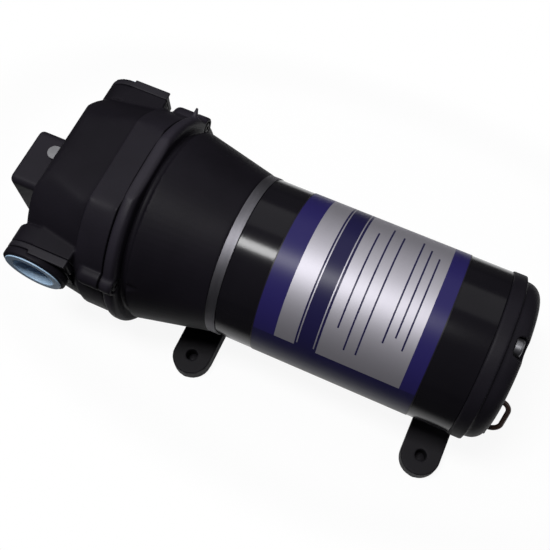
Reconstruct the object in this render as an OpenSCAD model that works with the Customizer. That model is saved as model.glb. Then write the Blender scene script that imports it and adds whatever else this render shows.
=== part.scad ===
// Caravan water pump: a four-chamber diaphragm pump head on a 12 V motor, standing on two rubber feet.
// X runs along the motor's axis with the head at -X, Z is up, and the origin is the centre of the four
// mounting holes on the surface that the pump stands on. Stations along the axis are counted from the
// front end of the motor's tube, towards the rear.

/* [Motor] */
// Outside diameter of the steel motor tube
motor_d = 72; // [68:1:78]
// Length of the motor tube
tube_len = 105; // [98:1:120]
// Wall of the motor tube
tube_wall = 2; // [1.5:0.25:2.5]
// Thickness of the printed label film
label_t = 0.2; // [0.1:0.05:0.4]
// Bare tube in front of the label
label_in = 15.5; // [8:0.5:20]
// Length of the label
label_len = 73; // [60:1:78]
// Diameter of the motor shaft
shaft_d = 8; // [7:0.5:8.5]
// Length of the magnets
magnet_len = 54; // [44:1:56]
// Thickness of the magnets
magnet_t = 6.5; // [5:0.5:7.5]
// Angle that one magnet covers
magnet_arc = 130; // [110:5:140]
// Gap between the magnets and the rotor
air_gap = 0.7; // [0.5:0.1:1.5]
// Length of the rotor's core
core_len = 44; // [36:1:48]
// Number of slots in the rotor's core
slot_count = 12; // [10:1:12]
// Diameter of the commutator
commutator_d = 24; // [20:1:26]
// Length of the commutator
commutator_len = 16; // [14:1:18]
// Distance of the two through bolts from the inside of the tube
bolt_inset = 3; // [2.5:0.25:3.5]
// Diameter of the through bolts
bolt_d = 4; // [3:0.5:4.5]

/* [Rear cap] */
// Length of the rear cap behind the tube
cap_len = 14; // [12:0.5:16]
// Length of the cap's front band
cap_band = 6; // [5:0.5:7]
// How far the band stands proud of the tube
cap_proud = 0.5; // [0.4:0.1:1.5]
// How far the rear part is set in from the tube
cap_inset = 1.5; // [1:0.25:2]
// Rounding of the cap's rear edge
cap_round = 7; // [2:0.5:7.5]
// Diameter of the lead
lead_d = 2.25; // [1.5:0.25:2.5]

/* [Drive] */
// Visible width of the aluminium end bell
ring_w = 4.3; // [3.5:0.1:6]
// How far the end bell stands proud of the tube
ring_proud = 0.4; // [0.2:0.1:1]
// Tilt of the cam that makes the plate wobble
cam_tilt = 4.5; // [3:0.25:5]
// Distance from the shaft to the middle of each piston
piston_ring_r = 24.75; // [24:0.25:25.5]
// Radius of the piston caps
piston_r = 9.2; // [8:0.2:9.4]

/* [Head] */
// Length of the tapered lower housing, up to its flange
cone_len = 36; // [34:0.5:44]
// Radius of the lower housing at the motor
cone_rear_r = 36.6; // [36:0.2:39]
// Radius of the lower housing beside its flange
cone_front_r = 43.8; // [43:0.2:46]
// Width of the flange
flange_w = 6; // [5:0.5:8]
// Radius of the flange
flange_r = 47.5; // [46.5:0.25:50]
// Height of the flats on the flange above the axis
flange_flat = 45; // [43:0.5:46.5]
// Radius of the upper housing beside the flange
band_r = 46; // [45:0.25:46.5]
// Length of that band
band_len = 13; // [13:0.5:16]
// Height of the flats on the band above the axis
band_flat = 41.5; // [41:0.25:43]
// Length of the upper housing's front part
top_len = 26.5; // [26:0.5:32]
// Radius of the front part where it meets the band
top_rear_r = 45; // [44:0.25:45.5]
// Radius of the front part at the front face
top_front_r = 41.7; // [41:0.1:43]
// Height of the flats on the front part above the axis
top_flat = 39.5; // [39:0.25:40.5]
// Rounding of the front edges of those flats
top_round = 8.5; // [4:0.5:10]
// Wall of the upper housing
top_wall = 5; // [4:0.5:6]
// Sideways distance of the upper head screws from the axis
lug_y = 41.5; // [40.5:0.25:43]
// Height of the upper head screws above the axis
lug_z = 18; // [17:0.5:20]
// Sideways distance of the lower head screws from the axis
low_lug_y = 32.2; // [31:0.1:35]
// Depth of the lower head screws below the axis
low_lug_z = 29; // [28:0.25:31]
// Radius of the screw lugs
lug_r = 4.5; // [4:0.1:5.5]
// Diameter of the head screws
head_screw_d = 3; // [3:0.5:4.5]
// Thickness of the diaphragm
diaphragm_t = 2; // [1.5:0.25:2.5]

/* [Ports] */
// Distance of the ports behind the front face
port_in = 9.4; // [9:0.2:11]
// Height of the ports above the axis
port_z = 13; // [12:0.5:14]
// Distance from the middle of the pump to the mouth of the near port
port_end = 48.4; // [47:0.2:52]
// Distance from the middle of the pump to the mouth of the far port
far_port_end = 45.2; // [45:0.2:52]
// Radius of a port's barrel
port_r = 14; // [13.6:0.1:15]
// Radius of a port's mouth
mouth_r = 10.6; // [9.6:0.1:10.8]
// Depth of a port's mouth
mouth_depth = 9.5; // [8:0.5:11]
// Radius of the seal bore behind the mouth
seal_r = 7.2; // [6:0.1:7.5]
// Travel of a slide clip
clip_travel = 12; // [10:1:14]
// Height of the block that guides a clip
block_h = 28; // [26:0.5:30]

/* [Pressure switch] */
// Length of the switch cover
switch_len = 21.5; // [21:0.5:26]
// Width of the switch cover
switch_w = 28; // [26:1:32]
// Sideways shift of the switch, towards the far side
switch_shift = -2; // [-3:0.5:3]
// Height of the switch cover
switch_h = 34; // [34:1:40]
// Wall of the switch cover
switch_wall = 1.8; // [1.2:0.2:2.4]
// Travel of the plunger
plunger_travel = 0.8; // [0.5:0.1:1]

/* [Feet] */
// Height of the motor's axis above the surface
axis_h = 52; // [50:0.5:60]
// Thickness of the rubber feet
foot_t = 8; // [6:0.5:9]
// Width of a foot
foot_w = 18.3; // [16:0.1:20]
// Distance between the two mounting holes of a foot
hole_gap = 78.8; // [74:0.2:90]
// Radius of a mounting hole
hole_r = 2.6; // [2:0.1:3.5]
// Distance of the front foot from the end bell
front_foot_in = 10; // [9.5:0.1:12]
// Distance of the rear foot from the rear end of the tube
rear_foot_in = 4; // [3:0.1:8]

/* [Hidden] */
$fn = 64;

// Clearances that the pieces share
run_gap = 0.05;
fit_gap = 0.02;
slide_gap = 0.2;
part_gap = 0.3;
cut = 1;

// Motor, from the front end of the tube
motor_r = motor_d / 2;
tube_in_r = motor_r - tube_wall;
shaft_r = shaft_d / 2;
magnet_in_r = tube_in_r - magnet_t;
core_r = magnet_in_r - air_gap;
core_s = 20;
magnet_s = core_s + (core_len - magnet_len) / 2;
end_turn = 8;
riser_w = 2;
riser_gap = 4;
commutator_r = commutator_d / 2;
riser_s = core_s + core_len + end_turn + riser_gap;
riser_step = 2;
commutator_s = riser_s + riser_w;
bar_cut = 0.8;
bar_depth = 2;
slot_r = 3;
slot_cover = 3.2;
slot_ring = core_r - slot_r - slot_cover;
slot_mouth = 2;
wire_gap = 0.3;
turn_in_r = slot_ring - slot_r - 4;
turn_round = 2.5;
bolt_r = bolt_d / 2;
bolt_ring_r = tube_in_r - bolt_inset;
bolt_turn = 9;
bolt_head_r = 1.8 * bolt_r;
bolt_head_h = 3.2;
bolt_recess = 5.3;
bolt_room_r = bolt_head_r + 1;
bolt_cup_wall = 1.4;

// Bearings: bore, outside diameter and width
front_bore = shaft_d;
front_od = 22;
front_w = 7;
cam_bore = 15;
cam_od = 32;
cam_w = 9;
ball_share = 0.135;
race_share = 0.165;

// End bell and its spigot
ring_s = -ring_w;
ring_r = motor_r + ring_proud;
bell_web = 4;
spigot_len = 7;
spigot_wall = 6;
bell_boss_r = front_od / 2 + 4;
bell_boss_end = ring_s + front_w + 2;
bell_shaft_gap = 2;
bell_screw_r = 2;
bell_screw_head_r = 3.2;
bell_screw_head_h = 2.5;
bell_screw_turn = 45;

// Rear cap and brush gear
cap_band_r = motor_r + cap_proud;
cap_rear_r = motor_r - cap_inset;
cap_groove_w = 0.8;
cap_groove = 0.5;
cap_end = cap_len - cap_band - cap_groove_w;
cap_edge = min(cap_round, cap_end - 0.5);
cap_wall = 4;
cap_spigot = 6;
cap_spigot_wall = 3;
cap_in_r = tube_in_r - cap_spigot_wall;
cap_lug_r = tube_in_r - fit_gap - bolt_ring_r;
cap_s = tube_len;
rear_s = tube_len + cap_len;
bush_r = 8;
bush_len = 8;
bush_sunk = 0.5;
bush_s = rear_s - cap_wall + bush_sunk - bush_len;
bush_wall = 3;
washer_t = 1;
washer_gap = 0.1;
washer_r = bush_r - 0.5;
card_t = 2;
card_s = tube_len - cap_spigot - card_t;
card_bore_r = commutator_r + 3;
brush_w = 6;
brush_h = 8;
brush_len = 13;
holder_wall = 1;
holder_end = 1.5;
holder_in = commutator_r + 2.5;
brush_s = commutator_s + commutator_len / 2;
brush_room = 4;
brush_spring_r = 2.6;
brush_spring_bore = 1.8;
holder_out = commutator_r + brush_len + brush_room + holder_end;

// Lead that leaves the cap and goes back in: its two holes, sideways and above the axis
lead_r = lead_d / 2;
lead_from_bush = 6.2;
lead_from_wall = 3.3;
lead_out = around(bush_r + bush_wall + lead_from_bush, 173);
lead_back = around(cap_in_r - lead_from_wall, 207);
lead_span = norm(lead_out - lead_back);
lead_mid = (lead_out + lead_back) / 2;
lead_turn = atan2(lead_back[1] - lead_out[1], lead_back[0] - lead_out[0]);
grommet_r = lead_r + 1.4;
grommet_lip = 0.8;
lead_sides = 8;
lead_steps = 24;
lead_bend = 4.6;

// Head stations, forwards from the end bell
groove_w = 3;
groove_r = cone_front_r - 2.3;
flange_round = 2.2;
flange_s = ring_s - cone_len;
joint_s = flange_s - flange_w;
top_s = joint_s - band_len;
front_s = top_s - top_len;
housing_wall = 5;
cavity_rear_r = cone_rear_r - 5.6;
bell_screw_ring = cavity_rear_r - 3.5;
drive_hole_r = 17;
lug_front = 2.2;
lug_round = 2.8;
head_screw_r = head_screw_d / 2;
head_screw_head_r = 1.7 * head_screw_r;
head_screw_head_h = 3;
head_screw_end = 2;
tab_turn = 36;
tab_r = 2.1;
tab_s = joint_s + tab_r + 0.1;
tab_in_r = flange_r - 2;
tab_out_r = flange_r + 4.5;

// Wobble plate, counted from the middle of the diaphragm along the tilted axis
pivot_s = joint_s + diaphragm_t / 2;
pad_gap = 0.02;
post_flange_t = 2;
post_r = 6.5;
post_flange_r = piston_r - 0.2;
plate_front = 8;
plate_t = 4.5;
plate_r = 33;
neck_r = 14;
hub_web = 5.5;
hub_front = 17;
hub_r = cam_od / 2 + 3;
cam_bearing_front = hub_front + hub_web;
cam_bearing_rear = cam_bearing_front + cam_w;
hub_rear = cam_bearing_rear + 1;
cam_front = cam_bearing_front - 1;
cam_collar_r = cam_bore / 2 + 2;
cam_collar_rear = cam_bearing_rear + 3;
cam_hub_r = 8.5;
cam_hub_s = pivot_s + cam_bearing_rear + 2;
cam_end_s = ring_s - 0.5;
grub_r = 1.5;
grub_s = cam_end_s - grub_r - 1.1;
shaft_front_s = pivot_s + cam_front - 1;
shaft_rear_s = bush_s + bush_len - part_gap;
piston_t = 3.2;
piston_round = 1.2;
piston_screw_r = 1.6;
piston_screw_head_r = 3;
piston_screw_head_h = 1.6;
piston_screw_len = 8;

// Diaphragm: a flat sheet with four rolling folds
fold_t = 0.8;
fold_out_r = piston_r + 3.2;
cavity_front_r = piston_ring_r + fold_out_r + 0.45;
diaphragm_r = cavity_front_r + 2.8;
fold_in_r = piston_r + 1;
fold_depth = 5;
fold_front = 3.3;
pad_r = fold_in_r + fold_t / 2;
screw_hole_gap = 0.2;

// Valve plate and valves
valve_plate_t = 11;
chamber_r = fold_out_r + 0.2;
valve_plate_r = piston_ring_r + chamber_r + 1.05;
chamber_depth = 8.5;
valve_front_s = joint_s - valve_plate_t;
chamber_floor_s = joint_s - chamber_depth;
inlet_shift = 2.75;
inlet_disc_r = 6.8;
inlet_disc_t = 1.2;
inlet_hole_ring = 4.2;
inlet_hole_r = 1.2;
inlet_holes = 6;
stem_r = 1.9;
barb_r = 2.6;
barb_len = 2.8;
outlet_hole_ring = piston_ring_r - chamber_r + 2.85;
outlet_hole_r = 1.5;
outlet_hole_spread = 14;
wall_in_r = 18.6;
wall_out_r = 20.6;
outlet_disc_r = wall_in_r - 0.4;
outlet_disc_t = 1.5;
outlet_stem_len = 5;
lobe_slot = 1.6;
inner_seal_t = 1;
ring_seal_r = valve_plate_r - 1.4;
ring_seal_wire = 0.9;
gallery_r = ring_seal_r - 1.5;
gallery_s = front_s + top_wall;
sense_r = 2.5;

// Ports, clips and plugs, counted outwards from the middle of the pump
port_s = front_s + port_in;
seal_in = 28;
relief_in = 20;
relief = 0.8;
boss_wall = 2.6;
far_boss_in = 2;
passage_r = seal_r - 0.6;
barrel_in = 34;
clip_t = 2.4;
clip_lip = 0.6;
clip_in = min(port_end, far_port_end) - clip_lip - clip_t;
clip_r = port_r;
leg_in = mouth_r + 1;
leg_down = clip_travel - 4;
thumb_low = 4;
thumb_rear = top_len - port_in - 2 * slide_gap;
grip_h = 1.1;
grip_t = 3.8;
plug_gap = 0.06;
plug_wall = 1.3;
plug_floor = 1.6;
plug_rim_r = mouth_r + 2;
plug_rim_t = 0.6;
plug_in = 1;

// Pressure switch, forwards from the front face
switch_s = front_s - switch_len;
switch_round = 3;
switch_edge = 2;
base_t = 5.3;
base_gap = 0.2;
base_w = switch_w - 2 * switch_wall - 2 * base_gap;
base_h = switch_h - 2 * switch_wall - 2 * base_gap;
post_y = switch_w / 2 - 4.5;
post_z = switch_h / 2 - 4.5;
sense_disc_r = min(post_z - 2.5, base_w / 2 - 2);
sense_disc_t = 1.5;
plunger_r = 7.5;
plunger_t = 3.15;
stem_disc_gap = 0.05;
plunger_stem_r = 2.5;
switch_spring_r = plunger_r - 2.2;
switch_spring_bore = plunger_stem_r + 0.8;
bridge_t = 2;
bridge_in = 5;
bridge_w = 10;
bridge_leg = 1.5;
plunger_s = front_s - sense_disc_t - stem_disc_gap - plunger_t;
base_s = front_s - base_t;
bridge_s = base_s - bridge_in - bridge_t;
plunger_tip_s = bridge_s + plunger_travel + slide_gap;
switch_body_l = 20;
switch_body_h = 10;
switch_body_t = 6.4;
button_r = 1.5;
button_in = 3;
switch_post_r = 3;
terminal_w = 6.3;
terminal_t = 0.8;
terminal_side = 1.2;
terminal_proud = 2.5;
terminal_tab = 4.7;
terminal_level = 11.5;
terminal_s = bridge_s + 4.6;
switch_screw_r = 1.45;
switch_screw_head_r = 2.5;
switch_screw_head_h = 2;
switch_screw_in = 4.2;

// Feet
front_foot_s = ring_s - front_foot_in;
rear_foot_s = tube_len - rear_foot_in;
origin_s = (front_foot_s + rear_foot_s) / 2;
foot_r = foot_w / 2;
saddle_w = 34;
saddle_top = 30;
pedestal_l = foot_w - 2.3;
saddle_l = 11;
saddle_rear_s = tube_len - 0.5;
foot_screw_y = 10;
foot_screw_r = 1.5;
foot_screw_head_r = 3;
foot_screw_head_h = 2.2;
foot_screw_recess = 3;
foot_screw_in = 6;

// Local axes for what turns about the motor's axis: x is sideways, y is up and z runs to the rear
module axial(s) {
    translate([s - origin_s, 0, axis_h]) rotate([90, 0, 90]) children();
}

// The same axes at the middle of the diaphragm, tilted with the cam
module tilted() {
    axial(pivot_s) rotate([-cam_tilt, 0, 0]) children();
}

// Local axes for the port on one side: x runs to the rear, y is up and z points out of the port
module at_port(side) {
    mirror([0, side > 0 ? 1 : 0, 0])
        translate([port_s - origin_s, 0, axis_h + port_z]) rotate([90, 0, 0]) children();
}

// Moves what belongs to the pressure switch sideways
module at_switch() {
    translate([0, switch_shift, 0]) children();
}

module rod(r, s0, s1) {
    axial(s0) cylinder(r = r, h = s1 - s0);
}

module ring(r_out, r_in, s0, s1) {
    difference() {
        rod(r_out, s0, s1);
        rod(r_in, s0 - cut, s1 + cut);
    }
}

// A rod at a place beside the axis, given as [sideways, up]
module side_rod(place, r, s0, s1) {
    axial(s0) translate([place[0], place[1], 0]) cylinder(r = r, h = s1 - s0);
}

module box(size_y, size_z, s0, s1) {
    axial(s0) translate([-size_y / 2, -size_z / 2, 0]) cube([size_y, size_z, s1 - s0]);
}

// Keeps what lies between two level flats, at the same height above and below the axis
module between_flats(height, s0, s1) {
    reach = 80;
    intersection() {
        children();
        box(2 * reach, 2 * height, s0 - cut, s1 + cut);
    }
}

function around(r, angle) = [r * cos(angle), r * sin(angle)];
function bolt_places() = [for (k = [0, 1]) around(bolt_ring_r, 90 + bolt_turn + 180 * k)];
function bell_screw_places() = [for (k = [0:3]) around(bell_screw_ring, bell_screw_turn + 90 * k)];
function piston_places() = [for (k = [0:3]) around(piston_ring_r, 45 + 90 * k)];
function lug_places() = [for (side = [-1, 1], p = [[lug_y, lug_z], [low_lug_y, -low_lug_z]])
    [side * p[0], p[1]]];
function port_face(side) = side < 0 ? port_end : far_port_end;
function switch_screw_places() = [[-post_y, post_z], [post_y, -post_z]];

module motor_tube() {
    color("#141417") ring(motor_r, tube_in_r, 0, tube_len);
}

module motor_label() {
    color("#34348c")
        ring(motor_r + fit_gap + label_t, motor_r + fit_gap, label_in, label_in + label_len);
}

module front_bell() {
    color("#a8abb0") difference() {
        union() {
            difference() {
                union() {
                    rod(ring_r, ring_s, 0);
                    rod(tube_in_r - fit_gap, -cut, spigot_len);
                }
                rod(tube_in_r - spigot_wall, ring_s + bell_web, spigot_len + cut);
            }
            rod(bell_boss_r, ring_s, bell_boss_end);
        }
        rod(front_od / 2 + fit_gap, ring_s - cut, ring_s + front_w);
        rod(shaft_r + bell_shaft_gap, ring_s, bell_boss_end + cut);
        for (p = bolt_places())
            side_rod(p, bolt_r + fit_gap, ring_s + cut, spigot_len + cut);
        for (p = bell_screw_places())
            side_rod(p, bell_screw_r + fit_gap, ring_s - cut, ring_s + bell_web + cut);
    }
}

module rear_cap() {
    cup_s = rear_s - bolt_recess - bolt_cup_wall;
    color("#1b1b1e") difference() {
        union() {
            difference() {
                union() {
                    rod(cap_band_r, cap_s, cap_s + cap_band);
                    rod(cap_rear_r - cap_groove, cap_s, cap_s + cap_band + cap_groove_w + cut);
                    axial(cap_s + cap_band + cap_groove_w) rotate_extrude()
                        rounded_end(cap_rear_r, cap_end, cap_edge);
                    rod(tube_in_r - fit_gap, cap_s - cap_spigot, cap_s + cut);
                }
                rod(cap_in_r, cap_s - cap_spigot - cut, rear_s - cap_wall);
            }
            rod(bush_r + bush_wall, bush_s, rear_s - cap_wall + cut);
            for (p = bolt_places())
                side_rod(p, cap_lug_r, cap_s - cap_spigot, rear_s - cap_wall + cut);
            for (p = bolt_places()) intersection() {
                side_rod(p, bolt_room_r + bolt_cup_wall, cup_s, rear_s - cap_wall + cut);
                rod(cap_in_r + cut, cup_s, rear_s);
            }
        }
        rod(bush_r + fit_gap, bush_s - cut, bush_s + bush_len);
        for (p = bolt_places()) {
            side_rod(p, bolt_r + fit_gap, cap_s - cap_spigot - cut, rear_s + cut);
            side_rod(p, bolt_room_r, rear_s - bolt_recess, rear_s + cut);
        }
        for (p = [lead_out, lead_back])
            side_rod(p, grommet_r + fit_gap, rear_s - cap_wall - cut, rear_s + cut);
    }
}

// Half outline of a disc of radius r and height h, with its far edge rounded
module rounded_end(r, h, round_r) {
    square([r - round_r, h]);
    square([r, h - round_r]);
    translate([r - round_r, h - round_r]) intersection() {
        circle(r = round_r);
        square(round_r);
    }
}

// Half outline of a disc with both edges rounded
module rounded_rim(r, h, round_r) {
    square([r - round_r, h]);
    translate([0, round_r]) square([r, h - 2 * round_r]);
    for (z = [round_r, h - round_r])
        translate([r - round_r, z]) circle(r = round_r);
}

module through_bolts() {
    head_s = rear_s - bolt_recess;
    color("#c9ccd1") for (p = bolt_places()) {
        difference() {
            union() {
                side_rod(p, bolt_r, ring_s + 1.5 * cut, head_s + cut);
                axial(head_s) translate([p[0], p[1], 0])
                    rotate_extrude() rounded_end(bolt_head_r, bolt_head_h, bolt_head_h / 3);
            }
            axial(head_s + bolt_head_h / 2) translate([p[0], p[1], 0])
                cylinder(r = bolt_r, h = bolt_head_h, $fn = 6);
        }
    }
}

module magnets() {
    color("#3c3c40") for (side = [0, 180]) axial(magnet_s) rotate([0, 0, side - magnet_arc / 2])
        rotate_extrude(angle = magnet_arc)
            translate([magnet_in_r, 0]) square([magnet_t - fit_gap, magnet_len]);
}

module shaft() {
    color("#b9bcc2") rod(shaft_r, shaft_front_s, shaft_rear_s);
}

module rotor_core() {
    color("#6b6d72") difference() {
        rod(core_r, core_s, core_s + core_len);
        rod(shaft_r + fit_gap, core_s - cut, core_s + core_len + cut);
        for (k = [0:slot_count - 1]) axial(core_s - cut) rotate([0, 0, 360 / slot_count * k]) {
            translate([slot_ring, 0, 0]) cylinder(r = slot_r, h = core_len + 2 * cut);
            translate([slot_ring, -slot_mouth / 2, 0]) cube([core_r, slot_mouth, core_len + 2 * cut]);
        }
    }
}

module windings() {
    color("#b06a35") {
        for (k = [0:slot_count - 1])
            side_rod(around(slot_ring, 360 / slot_count * k), slot_r - wire_gap,
                core_s - cut, core_s + core_len + cut);
        for (s = [core_s - end_turn, core_s + core_len]) axial(s) difference() {
            rotate_extrude() rounded_rim(slot_ring + slot_r, end_turn, turn_round);
            translate([0, 0, -cut]) cylinder(r = turn_in_r, h = end_turn + 2 * cut);
        }
    }
}

module commutator() {
    color("#b87443") difference() {
        union() {
            rod(commutator_r, commutator_s, commutator_s + commutator_len);
            rod(commutator_r + riser_step, riser_s, commutator_s);
        }
        rod(shaft_r + fit_gap, riser_s - cut, commutator_s + commutator_len + cut);
        for (k = [0:slot_count - 1])
            axial(commutator_s) rotate([0, 0, 360 / slot_count * (k + 0.5)])
                translate([commutator_r - bar_depth, -bar_cut / 2, 0])
                    cube([bar_depth + cut, bar_cut, commutator_len + cut]);
    }
}

// A box beside the commutator: its width along the axis, its height, and where it starts and ends
module brush_box(side, width, height, y0, y1) {
    axial(brush_s - width / 2) rotate([0, 0, side > 0 ? 0 : 180])
        translate([y0, -height / 2, 0]) cube([y1 - y0, height, width]);
}

module brush_card() {
    holder_w = brush_w + 2 * holder_wall;
    holder_h = brush_h + 2 * holder_wall;
    leg_w = 2 * (card_s - brush_s);
    color("#5a3b28") difference() {
        union() {
            rod(tube_in_r - fit_gap, card_s, card_s + card_t);
            for (side = [-1, 1]) {
                brush_box(side, holder_w, holder_h, holder_in, holder_out);
                intersection() {
                    brush_box(side, leg_w + cut, holder_h, holder_in + 2, holder_out - 2);
                    rod(motor_r, brush_s, card_s + cut);
                }
            }
        }
        rod(card_bore_r, card_s - cut, card_s + card_t + cut);
        for (side = [-1, 1])
            brush_box(side, brush_w + 2 * run_gap, brush_h + 2 * run_gap, 0, holder_out - holder_end);
        for (p = bolt_places())
            side_rod(p, bolt_r + part_gap, card_s - cut, card_s + card_t + cut);
    }
}

module brush(side) {
    color("#2e2e30") difference() {
        brush_box(side, brush_w, brush_h, commutator_r / 2, commutator_r + brush_len);
        rod(commutator_r + run_gap, brush_s - brush_w, brush_s + brush_w);
    }
}

module brush_near() {
    brush(-1);
}

module brush_far() {
    brush(1);
}

module brush_spring(side) {
    y0 = commutator_r + brush_len + run_gap;
    color("#c0c2c6") axial(brush_s) rotate([0, side > 0 ? 90 : -90, 0]) difference() {
        translate([0, 0, y0]) cylinder(r = brush_spring_r, h = brush_room - 2 * run_gap);
        translate([0, 0, y0 - cut]) cylinder(r = brush_spring_bore, h = brush_room + 2 * cut);
    }
}

module brush_spring_near() {
    brush_spring(-1);
}

module brush_spring_far() {
    brush_spring(1);
}

module rear_bush() {
    color("#a9803f") ring(bush_r, shaft_r + run_gap, bush_s, bush_s + bush_len);
}

module thrust_washer() {
    color("#7d6a4e")
        ring(washer_r, shaft_r + fit_gap, bush_s - washer_gap - washer_t, bush_s - washer_gap);
}

// Half sections of a ball bearing that stands on z = 0
function pitch_r(bore, od) = (bore + od) / 4;
function ball_r(bore, od) = (od - bore) * ball_share;
function race_t(bore, od) = (od - bore) * race_share;

module ball_track(bore, od, width) {
    rotate_extrude() translate([pitch_r(bore, od), width / 2]) circle(r = ball_r(bore, od) + run_gap);
}

module inner_race(bore, od, width) {
    difference() {
        cylinder(r = bore / 2 + race_t(bore, od), h = width);
        translate([0, 0, -cut]) cylinder(r = bore / 2 + fit_gap, h = width + 2 * cut);
        ball_track(bore, od, width);
    }
}

module outer_race(bore, od, width) {
    difference() {
        cylinder(r = od / 2, h = width);
        translate([0, 0, -cut]) cylinder(r = od / 2 - race_t(bore, od), h = width + 2 * cut);
        ball_track(bore, od, width);
    }
}

module balls(bore, od, width, count) {
    for (k = [0:count - 1]) rotate([0, 0, 360 / count * k])
        translate([pitch_r(bore, od), 0, width / 2]) sphere(r = ball_r(bore, od));
}

module front_bearing_outer() {
    color("#c3c6cb") axial(ring_s) outer_race(front_bore, front_od, front_w);
}

module front_bearing_inner() {
    color("#c3c6cb") axial(ring_s) inner_race(front_bore, front_od, front_w);
}

module front_bearing_balls() {
    color("#d5d7db") axial(ring_s) balls(front_bore, front_od, front_w, 7);
}

module cam() {
    color("#8d9096") difference() {
        union() {
            tilted() translate([0, 0, cam_front])
                cylinder(r = cam_bore / 2, h = cam_collar_rear - cam_front);
            tilted() translate([0, 0, cam_bearing_rear])
                cylinder(r = cam_collar_r, h = cam_collar_rear - cam_bearing_rear);
            rod(cam_hub_r, cam_hub_s, cam_end_s);
        }
        rod(shaft_r + fit_gap, shaft_front_s - 10 * cut, cam_end_s + cut);
        cam_grub(grub_r + fit_gap, cam_hub_r + cut);
    }
}

// A radial place in the cam's hub, from the shaft outwards
module cam_grub(r, reach) {
    axial(grub_s) rotate([-90, 0, 0])
        translate([0, 0, shaft_r + fit_gap]) cylinder(r = r, h = reach - shaft_r);
}

module cam_grub_screw() {
    color("#3a3b3e") cam_grub(grub_r, cam_hub_r - 0.5);
}

module cam_bearing_inner() {
    color("#c3c6cb") tilted() translate([0, 0, cam_bearing_front]) inner_race(cam_bore, cam_od, cam_w);
}

module cam_bearing_balls() {
    color("#d5d7db") tilted() translate([0, 0, cam_bearing_front]) balls(cam_bore, cam_od, cam_w, 9);
}

module cam_bearing_outer() {
    color("#c3c6cb") tilted() translate([0, 0, cam_bearing_front]) outer_race(cam_bore, cam_od, cam_w);
}

module wobble_plate() {
    front = diaphragm_t / 2 + pad_gap;
    color("#d8d6cc") tilted() difference() {
        union() {
            translate([0, 0, plate_front]) cylinder(r = plate_r, h = plate_t);
            translate([0, 0, plate_front]) cylinder(r = neck_r, h = hub_front - plate_front + cut);
            translate([0, 0, hub_front]) cylinder(r = hub_r, h = hub_rear - hub_front);
            for (p = piston_places()) translate([p[0], p[1], front]) {
                cylinder(r = post_r, h = plate_front + cut - front);
                cylinder(r = post_flange_r, h = post_flange_t);
            }
        }
        translate([0, 0, cam_bearing_front]) cylinder(r = cam_od / 2 + fit_gap, h = hub_rear);
        translate([0, 0, hub_front]) cylinder(r = cam_collar_r + 1, h = hub_web + cut);
        for (p = piston_places()) translate([p[0], p[1], 0])
            cylinder(r = piston_screw_r + fit_gap, h = piston_screw_len);
    }
}

module pistons() {
    front = -diaphragm_t / 2 - pad_gap - piston_t;
    color("#e3e1d8") for (p = piston_places()) tilted() translate([p[0], p[1], front]) difference() {
        translate([0, 0, piston_t]) mirror([0, 0, 1])
            rotate_extrude() rounded_end(piston_r, piston_t, piston_round);
        translate([0, 0, -cut]) cylinder(r = piston_screw_r + fit_gap, h = piston_t + 2 * cut);
        translate([0, 0, -cut])
            cylinder(r = piston_screw_head_r + fit_gap, h = piston_screw_head_h + cut);
    }
}

module piston_screws() {
    front = -diaphragm_t / 2 - pad_gap - piston_t;
    color("#c9ccd1") for (p = piston_places()) tilted() translate([p[0], p[1], front]) difference() {
        union() {
            cylinder(r = piston_screw_head_r, h = piston_screw_head_h);
            cylinder(r = piston_screw_r, h = piston_screw_len - front - cut);
        }
        translate([0, 0, -cut])
            cylinder(r = piston_screw_r, h = piston_screw_head_h / 2 + cut, $fn = 6);
    }
}

module lower_housing() {
    wall_s = ring_s - housing_wall;
    color("#1c1c1f") difference() {
        union() {
            axial(flange_s + groove_w)
                cylinder(r1 = cone_front_r, r2 = cone_rear_r, h = ring_s - flange_s - groove_w);
            rod(groove_r, joint_s, flange_s + groove_w + cut);
            between_flats(flange_flat, joint_s, flange_s)
                axial(joint_s) rotate_extrude() rounded_rim(flange_r, flange_w, flange_round);
            for (p = lug_places())
                side_rod(p, lug_r, joint_s, flange_s);
            axial(tab_s) rotate([0, 0, tab_turn]) rotate([0, 90, 0]) translate([0, 0, tab_in_r])
                cylinder(r1 = tab_r, r2 = tab_r / 4, h = tab_out_r - tab_in_r);
            pedestal(front_foot_s - pedestal_l / 2, front_foot_s + pedestal_l / 2);
        }
        rod(cavity_front_r, joint_s - cut, flange_s);
        axial(flange_s - fit_gap)
            cylinder(r1 = cavity_front_r, r2 = cavity_rear_r, h = wall_s - flange_s + fit_gap);
        rod(diaphragm_r + slide_gap, joint_s - cut, joint_s + diaphragm_t);
        rod(drive_hole_r, wall_s - cut, ring_s + cut);
        for (p = lug_places())
            side_rod(p, head_screw_r + slide_gap, joint_s - cut, flange_s);
        for (p = lug_places())
            side_rod(p, head_screw_head_r + slide_gap, flange_s - head_screw_head_h, ring_s);
        for (p = bell_screw_places())
            side_rod(p, bell_screw_r + slide_gap, wall_s - cut, ring_s + cut);
        foot_screw_holes(front_foot_s);
    }
}

// A block under the axis that reaches down to the top of a foot
module pedestal(s0, s1) {
    axial(s0) translate([-saddle_w / 2, foot_t - axis_h, 0])
        cube([saddle_w, axis_h - foot_t - saddle_top, s1 - s0]);
}

module foot_screw_holes(s) {
    for (y = [-foot_screw_y, foot_screw_y])
        translate([s - origin_s, y, foot_t - cut])
            cylinder(r = foot_screw_r + fit_gap, h = foot_screw_in + cut);
}

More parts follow.
